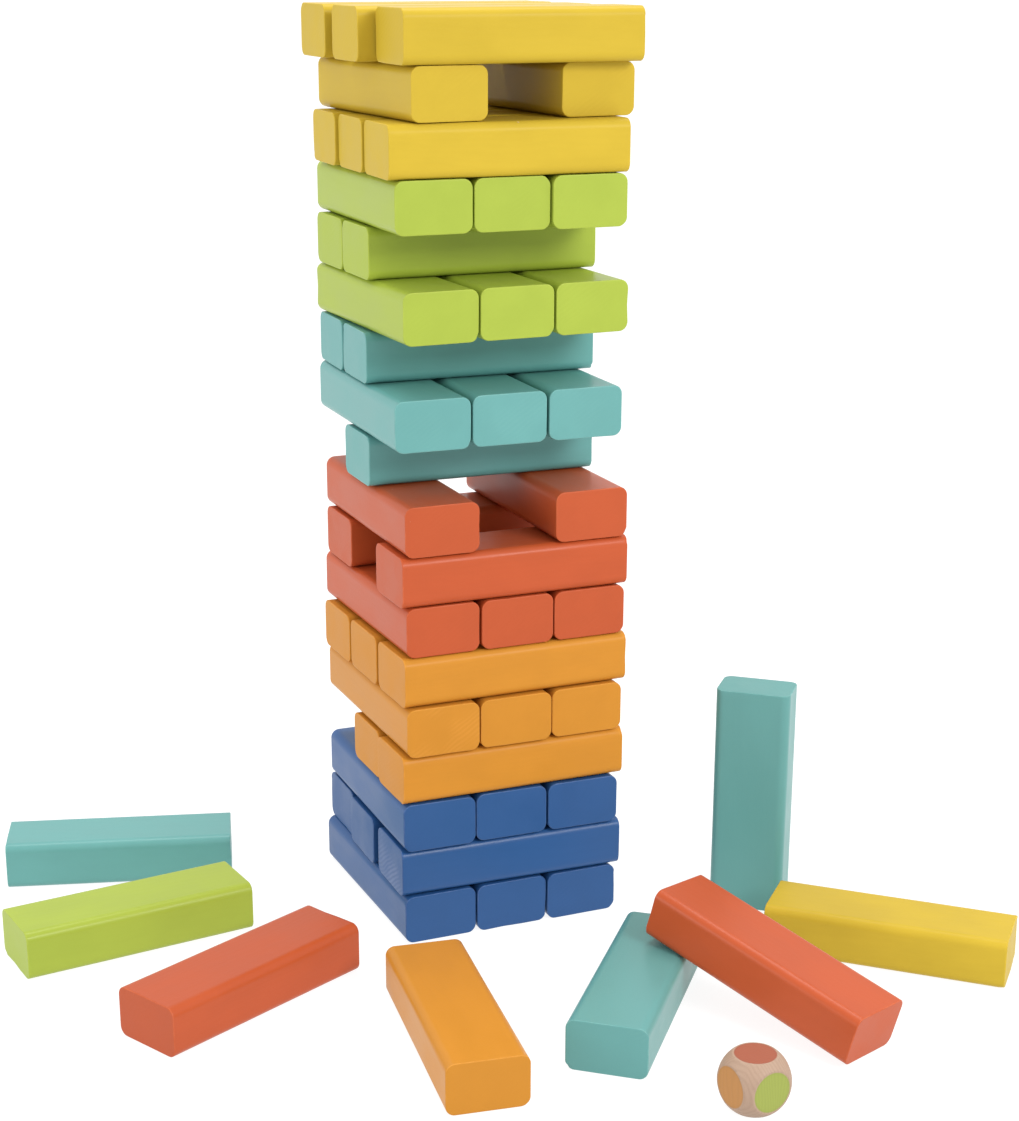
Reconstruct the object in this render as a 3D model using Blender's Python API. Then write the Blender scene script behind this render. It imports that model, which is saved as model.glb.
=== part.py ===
"""Giant tumbling tower: painted wooden blocks in eighteen crossed layers, with the blocks already
drawn from it lying and standing around its foot, and a wooden colour die. Metres, +Z up.

Layer 1 is the bottom one. Odd layers have their blocks running front to back, even layers from left
to right. The front is towards -Y.
"""

import math

import bmesh
import bpy
from mathutils import Matrix, Vector

MM = 0.001

# One block
LENGTH = 200 * MM
WIDTH = 65 * MM
THICK = 42 * MM
ROUND = 7.5 * MM  # radius along the four long edges
ROUND_STEPS = 4
EASE = 0.8 * MM  # sanded edge around the two ends
SHARP = 30  # degrees between faces, above which an edge is drawn sharp
GAP = 0.3 * MM  # between blocks that touch

# Where blocks sit in the stack
PITCH = WIDTH + GAP
STOREY = THICK + GAP

# The die: a cube whose corners are turned off to a ball, which leaves a round flat on each side
DIE_SIDE = 43 * MM
DIE_BALL = 27.2 * MM
DIE_PLACE = (44 * MM, -446 * MM)
DIE_YAW = 7.5

# Each colour fills three layers, from the bottom up
LAYERS_OF_A_COLOR = 3
PAINTS = {
    "blue": (0.052, 0.122, 0.294),
    "orange": (0.730, 0.314, 0.054),
    "red": (0.630, 0.138, 0.058),
    "teal": (0.223, 0.479, 0.456),
    "green": (0.491, 0.610, 0.102),
    "yellow": (0.791, 0.571, 0.067),
}
PAINT_ROUGHNESS = 0.5
BEECH = (0.640, 0.430, 0.270)
BEECH_ROUGHNESS = 0.55

# One row for each layer, bottom first: its twist in degrees, its shift to the right and to the back
# in mm, and the blocks still in it. Each block has its slot (0 is the left or front one), how far
# it is pushed along its own length, and how far it has crept sideways, in mm
LAYERS = (
    (0.75, (-1.5, 2.5), ((0, 0.5, 0), (1, -0.5, 0), (2, -1.5, 0))),
    (-0.75, (1, -1.5), ((0, 0.5, 0), (1, 0, 10), (2, 3, 10))),
    (-0.75, (-0.5, -1), ((0, -1, 0), (1, 0.5, 0), (2, 0.5, 0.5))),
    (0.25, (1.5, -4), ((0, -1, 0), (1, 1, 0.5))),
    (0.25, (0.5, -3), ((0, -1, 0), (1, -0.5, 0), (2, 1, 0))),
    (0.75, (1, -3), ((0, 0.5, -1), (1, 0, 0.5), (2, -0.5, 1))),
    (0.75, (2, 1), ((0, 1, 0), (1, 0, 0.5), (2, 0, 0.5))),
    (0.25, (2.5, -2), ((0, -0.5, -1), (2, 2, 2))),
    (0, (2.5, 0), ((0, -0.5, 0), (2, 0.5, 1.5))),
    (-1, (2, 4.5), ((1, 0, 0),)),
    (-1, (0, 6), ((0, -2, -1), (1, 0, 0), (2, 0, 1))),
    (-1.75, (2.5, 8), ((1, 0.5, 0), (2, 0, 0))),
    (1.5, (3, 8), ((0, 0, -0.5), (1, 0.5, 0), (2, 0, 0.5))),
    (0.25, (4, 7.5), ((1, 0, 0), (2, 0, 0))),
    (-0.75, (3, 9.5), ((0, 0, -0.5), (1, 1, 0), (2, -2, 0))),
    (-2, (1, 3.5), ((0, 1.5, 0), (1, 0, 0), (2, -2.5, 0))),
    (2.5, (11, 18), ((0, -3, 0), (2, 3, 0))),
    (-0.5, (1, 6.5), ((0, 10.5, -4), (1, -3.5, -3), (2, -6, 7))),
)

# Blocks out of the tower: name, colour, place of the centre on the ground in mm, yaw in degrees
LYING = (
    ("back_left", "teal", (-285, 145), -15.75),
    ("left", "green", (-312, -3), 7.75),
    ("front_left", "red", (-254, -147), 26.5),
    ("front", "orange", (-125, -281), 82.75),
    ("front_middle", "teal", (27, -286.5), 51),
    ("right", "yellow", (269, -271), -43),
)
STANDING = ("teal", (215.5, -127), 49.75)
# The leaning block has one end on the ground and the other on the front middle block
LEANING = ("red", (122, -330, 45), -65.5, 13, -5)


def paint(name, color, roughness):
    made = bpy.data.materials.new(name)
    made.use_nodes = True
    surface = made.node_tree.nodes["Principled BSDF"]
    surface.inputs["Base Color"].default_value = (*color, 1)
    surface.inputs["Roughness"].default_value = roughness
    surface.inputs["Metallic"].default_value = 0
    return made


def as_mesh(name, bm, material):
    """A mesh of the bmesh, in the one material, smooth over its rounds and sharp at its edges."""
    bmesh.ops.recalc_face_normals(bm, faces=bm.faces)
    mesh = bpy.data.meshes.new(name)
    bm.to_mesh(mesh)
    bm.free()
    mesh.materials.append(material)
    mesh.shade_smooth()
    mesh.set_sharp_from_angle(angle=math.radians(SHARP))
    return mesh


def add_node(name, mesh, place):
    """Makes one named object of the mesh. Blocks of one colour share theirs."""
    made = bpy.data.objects.new(name, mesh)
    bpy.context.scene.collection.objects.link(made)
    made.matrix_world = place


def block(name, material):
    """A block at the origin, long along X, with rounded long edges and sanded ends."""
    bm = bmesh.new()
    bmesh.ops.create_cube(bm, size=1)
    bmesh.ops.scale(bm, vec=(LENGTH, WIDTH, THICK), verts=bm.verts)
    along = [e for e in bm.edges if abs(e.verts[0].co.x - e.verts[1].co.x) > LENGTH / 2]
    bmesh.ops.bevel(bm, geom=along, offset=ROUND, offset_type="OFFSET", segments=ROUND_STEPS,
                    profile=0.5, affect="EDGES", material=-1)
    around = [e for e in bm.edges if abs(e.verts[0].co.x - e.verts[1].co.x) < LENGTH / 2]
    bmesh.ops.bevel(bm, geom=around, offset=EASE, offset_type="OFFSET", segments=1,
                    profile=0.5, affect="EDGES", material=-1)
    return as_mesh(name, bm, material)


def die(name, material):
    """A ball at the origin with a flat cut on each of its six sides."""
    bm = bmesh.new()
    bmesh.ops.create_icosphere(bm, subdivisions=3, radius=DIE_BALL)
    for axis in range(3):
        for side in (-1, 1):
            normal = Vector((0, 0, 0))
            normal[axis] = side
            cut = bmesh.ops.bisect_plane(bm, geom=bm.verts[:] + bm.edges[:] + bm.faces[:],
                                         plane_co=normal * DIE_SIDE / 2, plane_no=normal,
                                         clear_outer=True)
            rim = [part for part in cut["geom_cut"] if isinstance(part, bmesh.types.BMEdge)]
            bmesh.ops.holes_fill(bm, edges=rim)
    return as_mesh(name, bm, material)


def turn(degrees, axis):
    return Matrix.Rotation(math.radians(degrees), 4, axis)


def shift(x, y, z):
    return Matrix.Translation((x, y, z))


def build_tower(blocks):
    colors = list(PAINTS)
    for index, (twist, (right, back), row) in enumerate(LAYERS):
        number = index + 1
        runs_back = number % 2 == 1
        places = ("left", "middle", "right") if runs_back else ("front", "middle", "back")
        color = colors[index // LAYERS_OF_A_COLOR]
        layer = shift(right * MM, back * MM, index * STOREY + THICK / 2) @ turn(twist, "Z")
        for slot, push, creep in row:
            across = (slot - 1) * PITCH + creep * MM
            if runs_back:
                place = layer @ shift(across, push * MM, 0) @ turn(90, "Z")
            else:
                place = layer @ shift(push * MM, across, 0)
            add_node(f"L{number:02d}_{places[slot]}_{color}", blocks[color], place)


def build_loose(blocks):
    for name, color, (x, y), yaw in LYING:
        place = shift(x * MM, y * MM, THICK / 2) @ turn(yaw, "Z")
        add_node(f"loose_{name}_{color}", blocks[color], place)
    color, (x, y), yaw = STANDING
    place = shift(x * MM, y * MM, LENGTH / 2) @ turn(yaw, "Z") @ turn(-90, "Y")
    add_node(f"standing_{color}", blocks[color], place)
    color, (x, y, z), yaw, tilt, roll = LEANING
    place = shift(x * MM, y * MM, z * MM) @ turn(yaw, "Z") @ turn(tilt, "Y") @ turn(roll, "X")
    add_node(f"leaning_{color}", blocks[color], place)


def main():
    for old in list(bpy.data.objects):
        bpy.data.objects.remove(old)
    blocks = {color: block(f"{color}_block", paint(f"{color}_paint", rgb, PAINT_ROUGHNESS))
              for color, rgb in PAINTS.items()}
    build_tower(blocks)
    build_loose(blocks)
    place = shift(*DIE_PLACE, DIE_SIDE / 2) @ turn(DIE_YAW, "Z")
    add_node("colour_die", die("die", paint("beech", BEECH, BEECH_ROUGHNESS)), place)


main()
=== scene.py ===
"""Looks of the giant tumbling tower: painted wooden blocks, a bare wooden die, pale floor, studio light.

Every block is remade from its CAD node's own place and size, with sanded rounds, knocks and a thin
satin paint. Metres, +Z up, in the frame's own axes. The front is towards -Y.
"""

import math
import random

import bmesh
import bpy
import numpy as np
from mathutils import Matrix, Vector, noise


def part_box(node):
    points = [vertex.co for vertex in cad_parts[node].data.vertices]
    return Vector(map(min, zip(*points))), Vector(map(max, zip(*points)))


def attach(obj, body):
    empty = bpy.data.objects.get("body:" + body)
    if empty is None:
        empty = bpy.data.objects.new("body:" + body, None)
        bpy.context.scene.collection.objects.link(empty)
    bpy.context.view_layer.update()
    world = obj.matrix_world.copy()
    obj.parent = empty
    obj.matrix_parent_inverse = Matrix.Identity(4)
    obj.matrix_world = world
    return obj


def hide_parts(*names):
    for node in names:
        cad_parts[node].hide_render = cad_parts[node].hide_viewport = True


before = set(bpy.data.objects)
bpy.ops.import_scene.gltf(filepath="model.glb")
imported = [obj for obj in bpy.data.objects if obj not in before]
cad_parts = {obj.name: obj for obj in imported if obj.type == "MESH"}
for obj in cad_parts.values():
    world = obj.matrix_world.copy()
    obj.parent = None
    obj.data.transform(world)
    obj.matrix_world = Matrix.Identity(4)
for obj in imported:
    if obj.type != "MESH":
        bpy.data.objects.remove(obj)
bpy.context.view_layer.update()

MM = 0.001

# The shape of a block
SLIM = 0.8 * MM  # how much narrower it is than its node, which shows the joint beside it
ROUND = 7.5 * MM  # along the four long edges
ROUND_STEPS = 8
EASE = 0.8 * MM  # around the two ends
EASE_STEPS = 3
SUPPORT = 0.8 * MM  # narrow faces beside a round, which carry its shading off before the flat
NEAR_END = (1.6 * MM, 3 * MM, 5 * MM, 8 * MM, 12 * MM)  # cuts across, measured from an end
CUTS_ALONG = 13  # parts that the length between them is cut in
CUTS_ON_SIDES = ((1, 3), (2, 2))  # an axis, and the parts that the flats across it are cut in
LARGE_FACE = 400 * MM * MM  # a face as large as this is shaded flat
CENTRINGS = 3  # how often a block's middle and its directions are found again from each other

# Unevenness left by sanding and by play
SANDING = 0.16 * MM  # how deep the surface wanders
SANDING_LENGTH = 45 * MM  # over what distance
SANDING_DRAW = (-9, 9)  # where in the noise a block's own wander is found
BRUISES = 5  # knocked places on the rims of a block's ends
BRUISE_TO_CORNER = (1.2, 1.4)  # above 1, more of them fall in the corners of an end
BRUISE_RADIUS = (2.5 * MM, 6 * MM)
BRUISE_DEPTH = (0.15 * MM, 0.7 * MM)

# How far a block's wood lies from the heart of the tree, in metres, which sets its figure
HEART_ALONG = (-2, 2)
HEART_BESIDE = (0.03, 0.12)

# How deep a block's paint is, from 0, thin, to 1, a second coat
COATS = (0.0, 0.2)
DEEPER_COATS = {"loose_back_left_teal": 0.3, "loose_front_middle_teal": 0.5, "standing_teal": 0.5,
                "loose_front_orange": 0.35}

# How strongly the saw's marks show on a block's ends
SAW_SHOWS = (0.0, 0.08)
ROUGH_SAWN = {"L02_front_blue": 1.0, "L05_left_orange": 0.25}

# The paints' own colours, from the tower's foot to its top
PAINTS = {
    "blue": (0.021, 0.081, 0.230),
    "orange": (0.538, 0.223, 0.027),
    "red": (0.448, 0.080, 0.024),
    "teal": (0.118, 0.325, 0.310),
    "green": (0.331, 0.414, 0.050),
    "yellow": (0.508, 0.356, 0.033),
}
BARE_WOOD = (0.60, 0.42, 0.26)  # under the paint
# How strongly each paint shines
SHINE = {"blue": 0.42, "orange": 0.16, "red": 0.30, "teal": 0.42, "green": 0.28, "yellow": 0.12}
SURFACE_IOR = 1.40

# Tones of the paint, as times its own colour. A mark comes in over the part of its noise that is
# called its spread, or where it is seen
TONES = (0.965, 1.03)  # where the paint lies thickest and thinnest
TONE_SPREAD = (0.30, 0.70)
SECOND_COAT_TONE = 0.78
RINGS_TONE = 0.84
FIBRE_TONE = 0.72
END_TONE = 0.93
SAWN_TONE = (1.3, 0.10)  # and how far it goes towards bare wood
# The rims of the ends: a lighter paint, partly wear towards bare wood and partly a painted highlight
RIM_HIGHLIGHT_AND_WEAR_TONE = (1.25, 0.12)
SPECKS_TONE = 0.75

# How much of each tone shows, from 0 to 1
RINGS_SHOW = 0.05
FIBRE_SHOWS = 0.045
END_SHOWS = 0.35
SAWN_SHOWS = 0.8
# How much the rims' lighter paint shows, which is part wear and part painted highlight
RIM_HIGHLIGHT_AND_WEAR_SHOWS = (0.10, 0.5)
SPECKS_SHOW = 0.10
CHIPS_SHOW = 0.75

# The paint's roughness, and what its ends, its lighter rims and chips add to it
PAINT_ROUGH = (0.30, 0.38)
END_ROUGHER = 0.08
RIM_HIGHLIGHT_AND_WEAR_ROUGHER = -0.08
CHIP_ROUGHER = 0.25

# How far each rises from the painted surface
PEEL_RISE = 0.05 * MM
RINGS_RISE = 0.014 * MM
FIBRE_RISE = 0.014 * MM
SAWN_RISE = 0.08 * MM
CHIP_RISE = -0.3 * MM

# Sizes of the marks on a painted block
PAINTED_RING = 4.2 * MM
FIBRE_SEEN = (0.56, 0.72)
# The lighter rims of the ends, partly wear and partly a painted highlight: their width, lumps and spread
RIM_HIGHLIGHT_AND_WEAR_WIDTH = 0.45 * MM
RIM_HIGHLIGHT_AND_WEAR_LUMP = 12 * MM
RIM_HIGHLIGHT_AND_WEAR_SPREAD = (0.40, 0.68)
SAW_PITCH = 3.6 * MM
CHIPS = {"spacing": 34 * MM, "share": 0.16, "size": 0.8 * MM}

# The die's wood
BEECH_LIGHT = (0.37, 0.250, 0.178)
BEECH_DARK = (0.28, 0.180, 0.122)
DIE_HEART = (0.3, 0.21, 0.09)  # how far it lies from the heart of the tree
BEECH_RING = 2.6 * MM
BEECH_RINGS_SHOW = 0.35
BEECH_FIBRE_SEEN = (0.5, 0.75)
BEECH_FIBRE_SHOWS = 0.25
FLECK = (3.5 * MM, 0.6 * MM)  # a fleck's length and width
FLECKS_SEEN = (0.62, 0.72)
FLECKS_SHOW = 0.20
FLECKS_TONE = 0.8
BEECH_ROUGH = 0.56
BEECH_RINGS_RISE = 0.03 * MM
BEECH_FIBRE_RISE = 0.05 * MM

# The die's dots: their paint and how dark it dries, by the side of the die that each is on
DOTS = {"+z": ("red", 0.66), "-z": ("teal", 0.76), "-x": ("orange", 0.78), "+x": ("blue", 0.76),
        "-y": ("green", 0.76), "+y": ("yellow", 0.76)}
DOT_RADIUS = 15.8 * MM
DOT_EDGE = (0.5 * MM, -0.4 * MM)  # where the paint ends and where it is whole, from the radius
DOT_WOOD = 0.12  # how much of the wood's colour shows through
DIE_SKIN = 0.05 * MM  # how far under a flat the paint may reach
BLEED = (3 * MM, 1.2 * MM)  # the length and width of the paint's creeping into the grain
BLEED_REACH = 0.6 * MM
PUDDLE_WIDTH = 2.2 * MM  # the darker ring where the paint dried last
PUDDLE_SHOWS = 0.35
PUDDLE_TONE = 0.72
PUDDLE_WOOD = 0.08
DOT_RINGS_SHOW = 0.25
DOT_RINGS_TONE = 0.8
DOT_SMOOTHER = -0.12
DOT_RISE = 0.08 * MM

# The floor glows like a lit table, so that only the faintest shadow is seen on it
FLOOR_REACH = 250
FLOOR_COLORS = ((0.20, 0.20, 0.20, 1), (0.22, 0.22, 0.22, 1))
FLOOR_MOTTLE = 0.4
FLOOR_SPREAD = (0.3, 0.7)
FLOOR_GLOW = 0.88
FLOOR_ROUGH = 0.8
FLOOR_SHINE = 0.1

# Softboxes: place, the point aimed at, width and height in metres, and watts
SOFTBOXES = {
    "overhead": ((0.1, 0.4, 2.4), (0, -0.1, 0.3), (1.8, 0.4), 27),
    "key": ((0.9, -2.4, 1.65), (0, 0, 0.3), (1.2, 0.8), 43),
    "side": ((-2.6, 0.1, 0.9), (0, 0, 0.35), (1.0, 1.0), 17),
}
WHITE = (1, 1, 1, 1)
STUDIO_LIGHT = 1.02

# The camera, its aim as turns from level and from straight ahead
CAMERA_PLACE = (-0.6612, -1.6583, 0.8013)
CAMERA_DOWN = 17.96
CAMERA_RIGHT = 22.2
LENS = 69.08
SENSOR = 36
SHIFT = (0.021, 0.078)


# ------------------------------------------------------------ node helpers

VALUE = "NodeSocketFloat"
VECTOR = "NodeSocketVector"


def add(tree, kind, inputs=None, **settings):
    """A new node. An input is linked where it is given a socket, and set where it is given a value."""
    made = tree.nodes.new(kind)
    for name, value in settings.items():
        setattr(made, name, value)
    for key, value in (inputs or {}).items():
        if isinstance(value, bpy.types.NodeSocket):
            tree.links.new(value, made.inputs[key])
        else:
            made.inputs[key].default_value = value
    return made


def calc(tree, operation, *values, clamp=False):
    return add(tree, "ShaderNodeMath", dict(enumerate(values)), operation=operation,
               use_clamp=clamp).outputs[0]


def vector_calc(tree, operation, *values):
    return add(tree, "ShaderNodeVectorMath", dict(enumerate(values)), operation=operation).outputs[0]


def length_of(tree, vector):
    return add(tree, "ShaderNodeVectorMath", {0: vector}, operation="LENGTH").outputs["Value"]


def fade(tree, value, start, end, low=0.0, high=1.0):
    """Goes smoothly from low at start to high at end."""
    return add(tree, "ShaderNodeMapRange",
               {"Value": value, "From Min": start, "From Max": end, "To Min": low, "To Max": high},
               interpolation_type="SMOOTHSTEP").outputs["Result"]


def blend(tree, share, a, b):
    """The colour a, with this share of the colour b."""
    return add(tree, "ShaderNodeMix", {0: share, 6: a, 7: b}, data_type="RGBA").outputs[2]


def times(tree, a, b):
    return calc(tree, "MULTIPLY", a, b)


def wave(tree, turns):
    """Goes from 0 to 1 and back once in each turn."""
    return calc(tree, "MULTIPLY_ADD", calc(tree, "SINE", times(tree, turns, 2 * math.pi)), 0.5, 0.5,
                clamp=True)


def cloud(tree, place, detail=2.0, roughness=0.5):
    """Noise around 0.5 whose lumps are one unit of the place."""
    return add(tree, "ShaderNodeTexNoise",
               {"Vector": place, "Scale": 1.0, "Detail": detail, "Roughness": roughness}
               ).outputs["Fac"]


def in_lumps(tree, place, along, across):
    """The place counted in lumps of these two lengths, along the block and across it."""
    return vector_calc(tree, "MULTIPLY", place, (1 / along, 1 / across, 1 / across))


def group(name, inputs, outputs):
    """A shader group with these sockets, and the sockets of its input and output nodes."""
    tree = bpy.data.node_groups.new(name, "ShaderNodeTree")
    for socket, kind in inputs.items():
        tree.interface.new_socket(socket, in_out="INPUT", socket_type=kind)
    for socket, kind in outputs.items():
        tree.interface.new_socket(socket, in_out="OUTPUT", socket_type=kind)
    given = tree.nodes.new("NodeGroupInput").outputs
    return tree, given, tree.nodes.new("NodeGroupOutput").inputs


def use(tree, shared, **inputs):
    """Places a group in a tree. Its sockets are named in lower case, with _ for a space."""
    names = {socket.lower().replace(" ", "_"): socket for socket in
             (item.name for item in shared.interface.items_tree if item.in_out == "INPUT")}
    return add(tree, "ShaderNodeGroup", {names[key]: value for key, value in inputs.items()},
               node_tree=shared).outputs


# ------------------------------------------------------------ shared effects

def make_wood_grain():
    """Growth rings around a heart beside the block, drawn out along its length, and fine fibre."""
    drawn_out = (0.05, 1, 1)
    wander_lump = (80 * MM, 25 * MM)
    wander_reach = 14 * MM
    ring_sharpness = 1.7
    fibre_lump = (20 * MM, 0.7 * MM)
    tree, given, out = group("wood grain", {"Place": VECTOR, "Own": VECTOR, "Ring": VALUE},
                             {"Rings": VALUE, "Fibre": VALUE})
    place = vector_calc(tree, "ADD", given["Place"], given["Own"])
    wander = cloud(tree, in_lumps(tree, place, *wander_lump))
    radius = length_of(tree, vector_calc(tree, "MULTIPLY", place, drawn_out))
    radius = calc(tree, "MULTIPLY_ADD", wander, wander_reach, radius)
    rings = wave(tree, calc(tree, "DIVIDE", radius, given["Ring"]))
    tree.links.new(calc(tree, "POWER", rings, ring_sharpness), out["Rings"])
    fibre = cloud(tree, in_lumps(tree, place, *fibre_lump), roughness=0.6)
    tree.links.new(fibre, out["Fibre"])
    return tree


def make_block_edges():
    """Where a place lies on a block: on an end, and on the rim where an end meets a side."""
    end_depth = (0.4 * MM, 0.1 * MM)
    tree, given, out = group("block edges",
                             {"Place": VECTOR, "Half": VECTOR, "Round": VALUE, "Rim": VALUE},
                             {"End": VALUE, "Rim": VALUE})
    away = vector_calc(tree, "ABSOLUTE", given["Place"])
    depth = add(tree, "ShaderNodeSeparateXYZ",
                {0: vector_calc(tree, "SUBTRACT", given["Half"], away)}).outputs
    from_y = calc(tree, "SUBTRACT", given["Round"], depth["Y"])
    from_z = calc(tree, "SUBTRACT", given["Round"], depth["Z"])
    corner = add(tree, "ShaderNodeCombineXYZ",
                 {"Y": calc(tree, "MAXIMUM", from_y, 0.0), "Z": calc(tree, "MAXIMUM", from_z, 0.0)})
    beyond = calc(tree, "MINIMUM", calc(tree, "MAXIMUM", from_y, from_z), 0.0)
    under_side = calc(tree, "SUBTRACT", given["Round"],
                      calc(tree, "ADD", length_of(tree, corner.outputs[0]), beyond))
    twice = times(tree, given["Rim"], 2.0)
    near_side = fade(tree, under_side, twice, given["Rim"])
    near_end = fade(tree, depth["X"], twice, given["Rim"])
    tree.links.new(fade(tree, depth["X"], *end_depth), out["End"])
    tree.links.new(times(tree, near_side, near_end), out["Rim"])
    return tree


def make_knocks():
    """Sparse small chips, one in each of a few cells of the wood."""
    raggedness = (18, 18, 18)
    ragged_sizes = (0.2, 1.6)  # the least, and how much more the largest is
    sizes = (0.4, 0.8)
    soft_edge = (1.0, 0.75)
    tree, given, out = group("knocks",
                             {"Place": VECTOR, "Spacing": VALUE, "Share": VALUE, "Size": VALUE},
                             {"Chip": VALUE})
    spacing = add(tree, "ShaderNodeCombineXYZ", {axis: given["Spacing"] for axis in "XYZ"})
    cells = vector_calc(tree, "DIVIDE", given["Place"], spacing.outputs[0])
    ragged = cloud(tree, vector_calc(tree, "MULTIPLY", cells, raggedness), detail=1.0)
    found = add(tree, "ShaderNodeTexVoronoi", {"Vector": cells, "Scale": 1.0})
    draw = add(tree, "ShaderNodeSeparateXYZ", {0: found.outputs["Color"]}).outputs
    chosen = calc(tree, "LESS_THAN", draw["X"], given["Share"])
    reach = times(tree, calc(tree, "MULTIPLY_ADD", draw["Y"], sizes[1], sizes[0]),
                  calc(tree, "DIVIDE", given["Size"], given["Spacing"]))
    reach = times(tree, reach, calc(tree, "MULTIPLY_ADD", ragged, ragged_sizes[1], ragged_sizes[0]))
    inside = fade(tree, calc(tree, "DIVIDE", found.outputs["Distance"], reach), *soft_edge)
    tree.links.new(times(tree, inside, chosen), out["Chip"])
    return tree


def make_saw_marks():
    """Fine slanting lines that a saw leaves across an end, stronger in some patches than others."""
    slant = (0.54, 0.84)
    wander_lump = (20 * MM, 20 * MM)
    wander_reach = 4 * MM
    patch_lump = (50 * MM, 40 * MM)
    patch_spread = (0.45, 0.65)
    tree, given, out = group("saw marks",
                             {"Place": VECTOR, "Own": VECTOR, "Pitch": VALUE, "Sawn": VALUE},
                             {"Lines": VALUE})
    place = vector_calc(tree, "ADD", given["Place"], given["Own"])
    parts = add(tree, "ShaderNodeSeparateXYZ", {0: given["Place"]}).outputs
    across = calc(tree, "MULTIPLY_ADD", parts["Y"], slant[0], times(tree, parts["Z"], slant[1]))
    wander = cloud(tree, in_lumps(tree, place, *wander_lump), detail=1.0)
    across = calc(tree, "MULTIPLY_ADD", wander, wander_reach, across)
    patch = fade(tree, cloud(tree, in_lumps(tree, place, *patch_lump), detail=1.0), *patch_spread)
    lines = times(tree, wave(tree, calc(tree, "DIVIDE", across, given["Pitch"])), patch)
    tree.links.new(times(tree, lines, given["Sawn"]), out["Lines"])
    return tree


def make_paint_film():
    """How sprayed paint lies: slow changes of tone, a fine orange peel, and specks of dust in it."""
    tone_lump = (60 * MM, 30 * MM)
    peel_lump = (2.2 * MM, 1.6 * MM)
    speck_lump = (1.2 * MM, 1.2 * MM)
    specks_seen = (0.70, 0.78)
    tree, given, out = group("paint film", {"Place": VECTOR},
                             {"Tone": VALUE, "Peel": VALUE, "Specks": VALUE})
    tree.links.new(cloud(tree, in_lumps(tree, given["Place"], *tone_lump), detail=3.0), out["Tone"])
    tree.links.new(cloud(tree, in_lumps(tree, given["Place"], *peel_lump)), out["Peel"])
    dust = cloud(tree, in_lumps(tree, given["Place"], *speck_lump), detail=1.0)
    tree.links.new(fade(tree, dust, *specks_seen), out["Specks"])
    return tree


# ------------------------------------------------------------ materials

def new_material(name):
    made = bpy.data.materials.new(name)
    made.use_nodes = True
    tree = made.node_tree
    surface = tree.nodes["Principled BSDF"]
    surface.inputs["Metallic"].default_value = 0
    surface.inputs["IOR"].default_value = SURFACE_IOR
    return made, tree, surface


def read(tree, name, output="Vector"):
    return add(tree, "ShaderNodeAttribute", attribute_name=name).outputs[output]


def bumped(tree, layers):
    """A normal bumped by each (height, metres of full height) in turn."""
    normal = None
    for height, rise in layers:
        inputs = {"Height": height, "Distance": rise, "Strength": 1.0}
        if normal is not None:
            inputs["Normal"] = normal
        normal = add(tree, "ShaderNodeBump", inputs).outputs[0]
    return normal


def tinted(color, tone, towards=(1, 1, 1), share=0.0):
    """The colour times a tone, then moved by a share towards another, with an alpha of 1."""
    return (*(min(1, c * tone) * (1 - share) + t * share for c, t in zip(color, towards)), 1)


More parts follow.
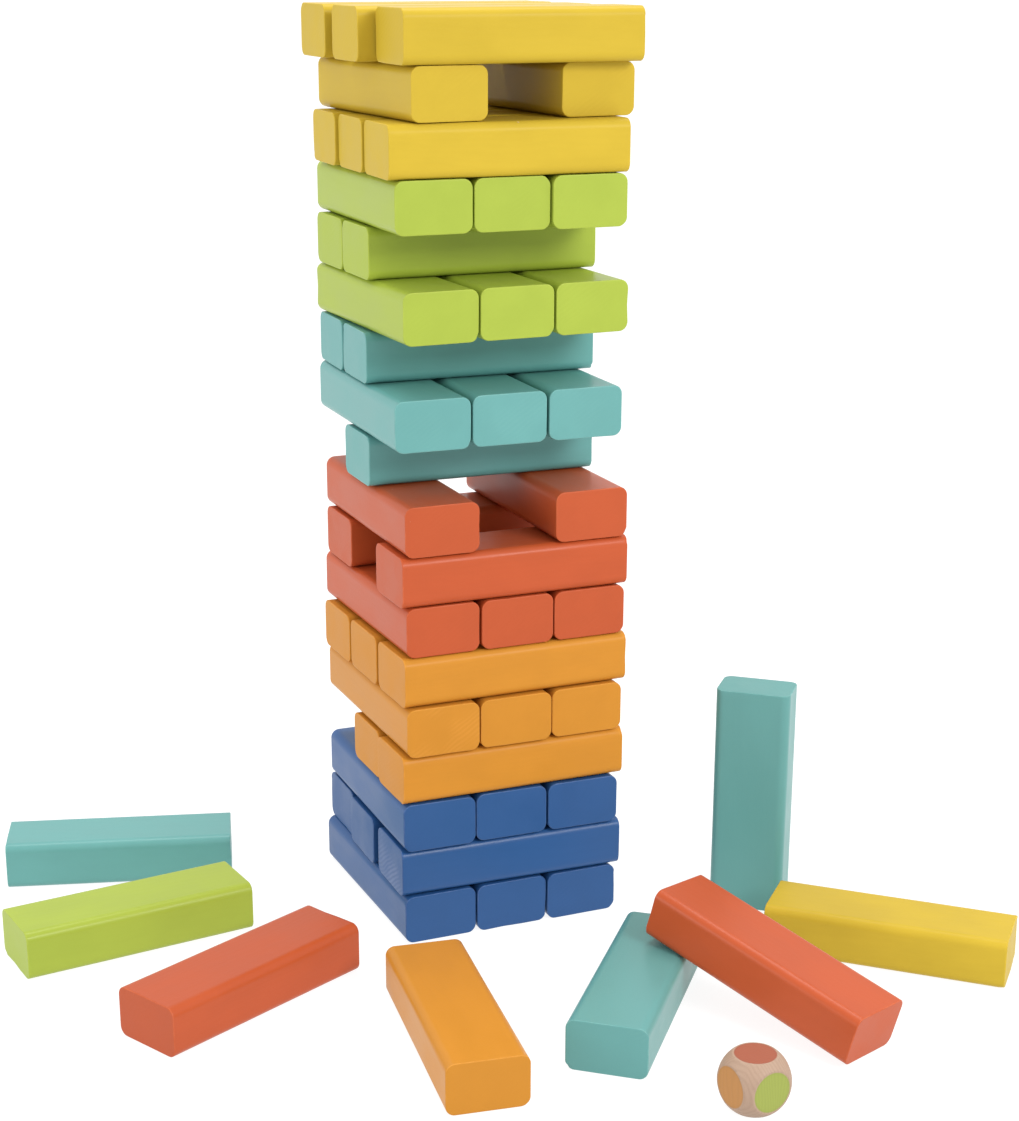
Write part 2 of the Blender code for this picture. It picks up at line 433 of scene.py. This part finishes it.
def painted_wood(name, color, shine, effects, half):
    """Satin paint over sanded wood. Its grain and its ends show through, and its rims are lighter, partly
    worn and partly a painted highlight.
    """
    made, tree, surface = new_material(name)
    surface.inputs["Specular IOR Level"].default_value = shine
    place = read(tree, "block_place")
    own = read(tree, "block_own")
    spread = vector_calc(tree, "ADD", place, own)
    film = use(tree, effects["film"], place=spread)
    grain = use(tree, effects["grain"], place=place, own=own, ring=PAINTED_RING)
    edges = use(tree, effects["edges"], place=place, half=half, round=ROUND, rim=RIM_HIGHLIGHT_AND_WEAR_WIDTH)
    chip = use(tree, effects["knocks"], place=spread, **CHIPS)["Chip"]
    saw = use(tree, effects["saw"], place=place, own=own, pitch=SAW_PITCH,
              sawn=read(tree, "block_sawn", "Fac"))["Lines"]
    saw = times(tree, saw, edges["End"])
    fibre = fade(tree, grain["Fibre"], *FIBRE_SEEN, 0.0, FIBRE_SHOWS)
    # The rims of the ends are painted lighter: partly worn towards bare wood, partly a painted highlight
    rim_highlight_and_wear_noise = cloud(tree, in_lumps(tree, spread, RIM_HIGHLIGHT_AND_WEAR_LUMP, RIM_HIGHLIGHT_AND_WEAR_LUMP), detail=3.0, roughness=0.6)
    rim_highlight_and_wear = times(tree, edges["Rim"], fade(tree, rim_highlight_and_wear_noise, *RIM_HIGHLIGHT_AND_WEAR_SPREAD, *RIM_HIGHLIGHT_AND_WEAR_SHOWS))

    shade = blend(tree, fade(tree, film["Tone"], *TONE_SPREAD), *(tinted(color, tone) for tone in TONES))
    for share, tone in (
            (read(tree, "block_coat", "Fac"), tinted(color, SECOND_COAT_TONE)),
            (times(tree, grain["Rings"], RINGS_SHOW), tinted(color, RINGS_TONE)),
            (fibre, tinted(color, FIBRE_TONE)),
            (times(tree, edges["End"], END_SHOWS), tinted(color, END_TONE)),
            (times(tree, saw, SAWN_SHOWS), tinted(color, SAWN_TONE[0], BARE_WOOD, SAWN_TONE[1])),
            (rim_highlight_and_wear, tinted(color, RIM_HIGHLIGHT_AND_WEAR_TONE[0], BARE_WOOD, RIM_HIGHLIGHT_AND_WEAR_TONE[1])),
            (times(tree, film["Specks"], SPECKS_SHOW), tinted(color, SPECKS_TONE)),
            (times(tree, chip, CHIPS_SHOW), (*BARE_WOOD, 1))):
        shade = blend(tree, share, shade, tone)
    tree.links.new(shade, surface.inputs["Base Color"])

    rough = fade(tree, film["Tone"], *TONE_SPREAD, *PAINT_ROUGH)
    rough = calc(tree, "MULTIPLY_ADD", edges["End"], END_ROUGHER, rough)
    rough = calc(tree, "MULTIPLY_ADD", rim_highlight_and_wear, RIM_HIGHLIGHT_AND_WEAR_ROUGHER, rough)
    rough = calc(tree, "MULTIPLY_ADD", chip, CHIP_ROUGHER, rough, clamp=True)
    tree.links.new(rough, surface.inputs["Roughness"])
    tree.links.new(bumped(tree, ((film["Peel"], PEEL_RISE), (grain["Rings"], RINGS_RISE),
                                 (grain["Fibre"], FIBRE_RISE), (saw, SAWN_RISE),
                                 (chip, CHIP_RISE))), surface.inputs["Normal"])
    return made


def dot(tree, side, parts, bleed, half):
    """The dot on one side of the die: where its paint lies, and how much of its dark ring shows."""
    axis = side[1].upper()
    across = [parts[other] for other in "XYZ" if other != axis]
    flat = add(tree, "ShaderNodeCombineXYZ", {"X": across[0], "Y": across[1]}).outputs[0]
    radius = calc(tree, "MULTIPLY_ADD", bleed, BLEED_REACH, length_of(tree, flat))
    outward = times(tree, parts[axis], 1.0 if side[0] == "+" else -1.0)
    on_flat = calc(tree, "GREATER_THAN", outward, half - DIE_SKIN)
    covered = times(tree, fade(tree, radius, *(DOT_RADIUS + edge for edge in DOT_EDGE)), on_flat)
    ring = times(tree, fade(tree, radius, DOT_RADIUS - PUDDLE_WIDTH, DOT_RADIUS), PUDDLE_SHOWS)
    return covered, ring


def beech_with_dots(name, effects, half):
    """Bare beech with a round dot of thin paint on each of the die's flats."""
    made, tree, surface = new_material(name)
    place = read(tree, "block_place")
    own = read(tree, "block_own")
    parts = add(tree, "ShaderNodeSeparateXYZ", {0: place}).outputs
    upright = add(tree, "ShaderNodeCombineXYZ",
                  {"X": parts["Z"], "Y": parts["X"], "Z": parts["Y"]}).outputs[0]
    spread = vector_calc(tree, "ADD", upright, own)
    grain = use(tree, effects["grain"], place=upright, own=own, ring=BEECH_RING)
    fibre = fade(tree, grain["Fibre"], *BEECH_FIBRE_SEEN, 0.0, BEECH_FIBRE_SHOWS)
    flecks = cloud(tree, in_lumps(tree, spread, *FLECK), detail=1.0)
    flecks = fade(tree, flecks, *FLECKS_SEEN, 0.0, FLECKS_SHOW)
    rings = times(tree, grain["Rings"], BEECH_RINGS_SHOW)
    shade = blend(tree, rings, (*BEECH_LIGHT, 1), (*BEECH_DARK, 1))
    shade = blend(tree, fibre, shade, (*BEECH_DARK, 1))
    shade = blend(tree, flecks, shade, tinted(BEECH_DARK, FLECKS_TONE))
    bleed = cloud(tree, in_lumps(tree, spread, *BLEED))
    rings = times(tree, grain["Rings"], DOT_RINGS_SHOW)
    painted = 0.0
    for side, (color_name, dried) in DOTS.items():
        covered, ring = dot(tree, side, parts, bleed, half)
        color = tinted(PAINTS[color_name], dried, BEECH_LIGHT, DOT_WOOD)
        edge = tinted(PAINTS[color_name], dried * PUDDLE_TONE, BEECH_LIGHT, PUDDLE_WOOD)
        paint = blend(tree, ring, color, edge)
        paint = blend(tree, rings, paint, tinted(color[:3], DOT_RINGS_TONE))
        shade = blend(tree, covered, shade, paint)
        painted = calc(tree, "MAXIMUM", painted, covered)
    tree.links.new(shade, surface.inputs["Base Color"])
    tree.links.new(calc(tree, "MULTIPLY_ADD", painted, DOT_SMOOTHER, BEECH_ROUGH),
                   surface.inputs["Roughness"])
    tree.links.new(bumped(tree, ((grain["Rings"], BEECH_RINGS_RISE), (grain["Fibre"], BEECH_FIBRE_RISE),
                                 (painted, DOT_RISE))), surface.inputs["Normal"])
    return made


# ------------------------------------------------------------ shapes

def node_place(node):
    """Where a block goes: a matrix with its length on X and its thickness on Z, and its size."""
    points = np.array([v.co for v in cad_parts[node].data.vertices], float)
    points = np.unique(np.round(points, 6), axis=0)
    middle = (points.min(0) + points.max(0)) / 2
    for _ in range(CENTRINGS):
        spread = points - middle
        axes = np.linalg.eigh(spread.T @ spread)[1][:, ::-1].T
        reach = spread @ axes.T
        middle = middle + (reach.min(0) + reach.max(0)) / 2 @ axes
    along, _, up = (Vector(axis) for axis in axes)
    along *= math.copysign(1, max(along, key=abs))
    up *= math.copysign(1, max(up, key=abs))
    turned = Matrix((along, up.cross(along), up)).transposed().to_4x4()
    size = Vector(reach.max(0) - reach.min(0)) - Vector((0, SLIM, 0))
    return Matrix.Translation(Vector(middle)) @ turned, size


def cut(bm, axis, at):
    normal = Vector((0, 0, 0))
    normal[axis] = 1
    bmesh.ops.bisect_plane(bm, geom=bm.verts[:] + bm.edges[:] + bm.faces[:], plane_co=normal * at,
                           plane_no=normal)


def plain_block(size):
    """A block at the origin, long along X, with rounded long edges, eased ends and cuts across it."""
    bm = bmesh.new()
    bmesh.ops.create_cube(bm, size=1)
    bmesh.ops.scale(bm, vec=size, verts=bm.verts)
    along = [e for e in bm.edges if abs(e.verts[0].co.x - e.verts[1].co.x) > size.x / 2]
    bmesh.ops.bevel(bm, geom=along, offset=ROUND, offset_type="OFFSET", segments=ROUND_STEPS,
                    profile=0.5, affect="EDGES", material=-1)
    around = [e for e in bm.edges if abs(e.verts[0].co.x - e.verts[1].co.x) < size.x / 2]
    bmesh.ops.bevel(bm, geom=around, offset=EASE, offset_type="OFFSET", segments=EASE_STEPS,
                    profile=0.5, affect="EDGES", material=-1)
    bm.normal_update()
    ends = [f for f in bm.faces if abs(f.normal.x) > 0.99]
    bmesh.ops.inset_region(bm, faces=ends, thickness=SUPPORT, use_even_offset=True)
    half = size / 2
    flat_end = half.x - 2 * NEAR_END[-1]
    steps = [half.x - near for near in NEAR_END]
    steps += [flat_end * step / CUTS_ALONG for step in range(1, CUTS_ALONG + 1, 2)]
    for at in steps:
        cut(bm, 0, at)
        cut(bm, 0, -at)
    for axis, parts in CUTS_ON_SIDES:
        inner = half[axis] - ROUND - SUPPORT
        for step in range(parts + 1):
            cut(bm, axis, inner * (2 * step / parts - 1))
    return bm


def bruises(size, draw):
    """Knocked places on the rims of the ends: centre, radius and depth."""
    half = size / 2
    found = []
    for _ in range(BRUISES):
        side = draw.choice((-1, 1))
        turn = draw.uniform(0, 2 * math.pi)
        corner = Vector((side * half.x, half.y * math.cos(turn) * BRUISE_TO_CORNER[0],
                         half.z * math.sin(turn) * BRUISE_TO_CORNER[1]))
        corner.y = max(-half.y, min(half.y, corner.y))
        corner.z = max(-half.z, min(half.z, corner.z))
        found.append((corner, draw.uniform(*BRUISE_RADIUS), draw.uniform(*BRUISE_DEPTH)))
    return found


def roughen(bm, size, draw):
    """Sinks the surface a little here and there, as sanding and knocks leave it. Nothing rises."""
    bm.normal_update()
    own = Vector([draw.uniform(*SANDING_DRAW) for _ in range(3)])
    knocked = bruises(size, draw)
    moves = []
    for vert in bm.verts:
        wander = noise.noise(vert.co / SANDING_LENGTH + own) * 0.5 + 0.5
        sunk = SANDING * min(1, max(0, wander))
        for centre, radius, depth in knocked:
            near = (vert.co - centre).length / radius
            if near < 1:
                sunk += depth * (1 - near * near) ** 2
        moves.append(vert.normal * -sunk)
    for vert, move in zip(bm.verts, moves):
        vert.co += move


def finished(name, bm, place, marks, material):
    """A piece of the bmesh, with each mark, a vector or a number, kept on all of it for its material."""
    mesh = bpy.data.meshes.new(name)
    bm.transform(place)
    bmesh.ops.recalc_face_normals(bm, faces=bm.faces)
    for face in bm.faces:
        face.smooth = face.calc_area() < LARGE_FACE
    bm.to_mesh(mesh)
    bm.free()
    for mark, value in marks.items():
        if isinstance(value, tuple):
            kept = mesh.attributes.new(mark, "FLOAT_VECTOR", "POINT").data
            kept.foreach_set("vector", value * len(mesh.vertices))
        else:
            kept = mesh.attributes.new(mark, "FLOAT", "POINT").data
            kept.foreach_set("value", [value] * len(mesh.vertices))
    mesh.materials.append(material)
    made = bpy.data.objects.new(name, mesh)
    bpy.context.scene.collection.objects.link(made)
    return made


def remember_place(bm):
    layer = bm.verts.layers.float_vector.new("block_place")
    for vert in bm.verts:
        vert[layer] = vert.co


def own_shift(draw):
    """How far a block's wood lies from the heart of the tree."""
    return draw.uniform(*HEART_ALONG), draw.uniform(*HEART_BESIDE), draw.uniform(*HEART_BESIDE)


def painted_block(node, material):
    place, size = node_place(node)
    draw = random.Random(node)
    bm = plain_block(size)
    remember_place(bm)
    roughen(bm, size, draw)
    marks = {"block_own": own_shift(draw),
             "block_sawn": ROUGH_SAWN.get(node, draw.uniform(*SAW_SHOWS)),
             "block_coat": DEEPER_COATS.get(node, draw.uniform(*COATS))}
    return finished(f"painted_{node}", bm, place, marks, material)


def die_place(node):
    """Where the die goes: a matrix that turns it as its node is, and how far its flats and ball reach."""
    points = np.array([v.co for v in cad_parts[node].data.vertices], float)
    low, high = points.min(0), points.max(0)
    middle = Vector((low + high) / 2)
    flat = float(high[2] - low[2]) / 2
    ball = float(np.linalg.norm(points - middle, axis=1).max())
    off_top_and_bottom = points[np.abs(points[:, 2] - middle.z) < flat * 0.98]
    spread = (off_top_and_bottom - middle)[:, :2]
    # It reaches least far in the direction that one of its flats faces
    turns = np.radians(np.arange(-45, 45, 0.25))
    reach = [np.abs(spread @ (math.cos(t), math.sin(t))).max() for t in turns]
    turn = float(turns[int(np.argmin(reach))])
    return Matrix.Translation(middle) @ Matrix.Rotation(turn, 4, "Z"), flat, ball


def dotted_die(node, material):
    """A ball with a flat on each side, turned as its node is."""
    place, flat, ball = die_place(node)
    bm = bmesh.new()
    bmesh.ops.create_icosphere(bm, subdivisions=5, radius=ball)
    for axis in range(3):
        for side in (-1, 1):
            normal = Vector((0, 0, 0))
            normal[axis] = side
            found = bmesh.ops.bisect_plane(bm, geom=bm.verts[:] + bm.edges[:] + bm.faces[:],
                                           plane_co=normal * flat, plane_no=normal, clear_outer=True)
            rim = [part for part in found["geom_cut"] if isinstance(part, bmesh.types.BMEdge)]
            bmesh.ops.holes_fill(bm, edges=rim)
    remember_place(bm)
    return finished("dotted_die", bm, place, {"block_own": DIE_HEART}, material)


# ------------------------------------------------------------ the game

def make_pieces():
    effects = {"grain": make_wood_grain(), "edges": make_block_edges(), "knocks": make_knocks(),
               "saw": make_saw_marks(), "film": make_paint_film()}
    half = node_place("L18_middle_yellow")[1] / 2  # all blocks are of one size
    paints = {color: painted_wood(f"{color}_paint", rgb, SHINE[color], effects, half)
              for color, rgb in PAINTS.items()}
    for node in sorted(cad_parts):
        color = node.rsplit("_", 1)[-1]
        if color in paints:
            piece = painted_block(node, paints[color])
        else:
            low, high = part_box(node)
            beech = beech_with_dots("beech", effects, (high.z - low.z) / 2)
            piece = dotted_die(node, beech)
        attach(piece, node)
        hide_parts(node)


def make_floor():
    """A wide pale floor that ends out of sight."""
    bm = bmesh.new()
    bmesh.ops.create_grid(bm, x_segments=2, y_segments=2, size=FLOOR_REACH)
    mesh = bpy.data.meshes.new("floor")
    bm.to_mesh(mesh)
    bm.free()
    floor = bpy.data.objects.new("floor", mesh)
    bpy.context.scene.collection.objects.link(floor)
    material, tree, surface = new_material("pale floor")
    place = add(tree, "ShaderNodeTexCoord").outputs["Object"]
    mottle = fade(tree, cloud(tree, in_lumps(tree, place, FLOOR_MOTTLE, FLOOR_MOTTLE)), *FLOOR_SPREAD)
    tree.links.new(blend(tree, mottle, *FLOOR_COLORS), surface.inputs["Base Color"])
    surface.inputs["Emission Color"].default_value = WHITE
    surface.inputs["Emission Strength"].default_value = FLOOR_GLOW
    surface.inputs["Roughness"].default_value = FLOOR_ROUGH
    surface.inputs["Specular IOR Level"].default_value = FLOOR_SHINE
    mesh.materials.append(material)


def softbox(name, place, aim, size, watts):
    lamp = bpy.data.lights.new(name, "AREA")
    lamp.shape = "RECTANGLE"
    lamp.size, lamp.size_y = size
    lamp.energy = watts
    made = bpy.data.objects.new(name, lamp)
    bpy.context.scene.collection.objects.link(made)
    made.location = place
    made.rotation_euler = (Vector(aim) - Vector(place)).to_track_quat("-Z", "Y").to_euler()
    made.visible_camera = False


def make_light():
    world = bpy.data.worlds.new("studio")
    world.use_nodes = True
    backdrop = world.node_tree.nodes["Background"]
    backdrop.inputs["Color"].default_value = WHITE
    backdrop.inputs["Strength"].default_value = STUDIO_LIGHT
    bpy.context.scene.world = world
    for name, settings in SOFTBOXES.items():
        softbox(name, *settings)


def make_camera():
    data = bpy.data.cameras.new("camera")
    data.lens = LENS
    data.sensor_width = SENSOR
    data.shift_x, data.shift_y = SHIFT
    camera = bpy.data.objects.new("camera", data)
    camera.location = CAMERA_PLACE
    camera.rotation_euler = (math.radians(90 - CAMERA_DOWN), 0, math.radians(-CAMERA_RIGHT))
    bpy.context.scene.collection.objects.link(camera)
    bpy.context.scene.camera = camera


make_camera()
make_light()
make_floor()
make_pieces()
bpy.context.scene.view_settings.view_transform = "Standard"
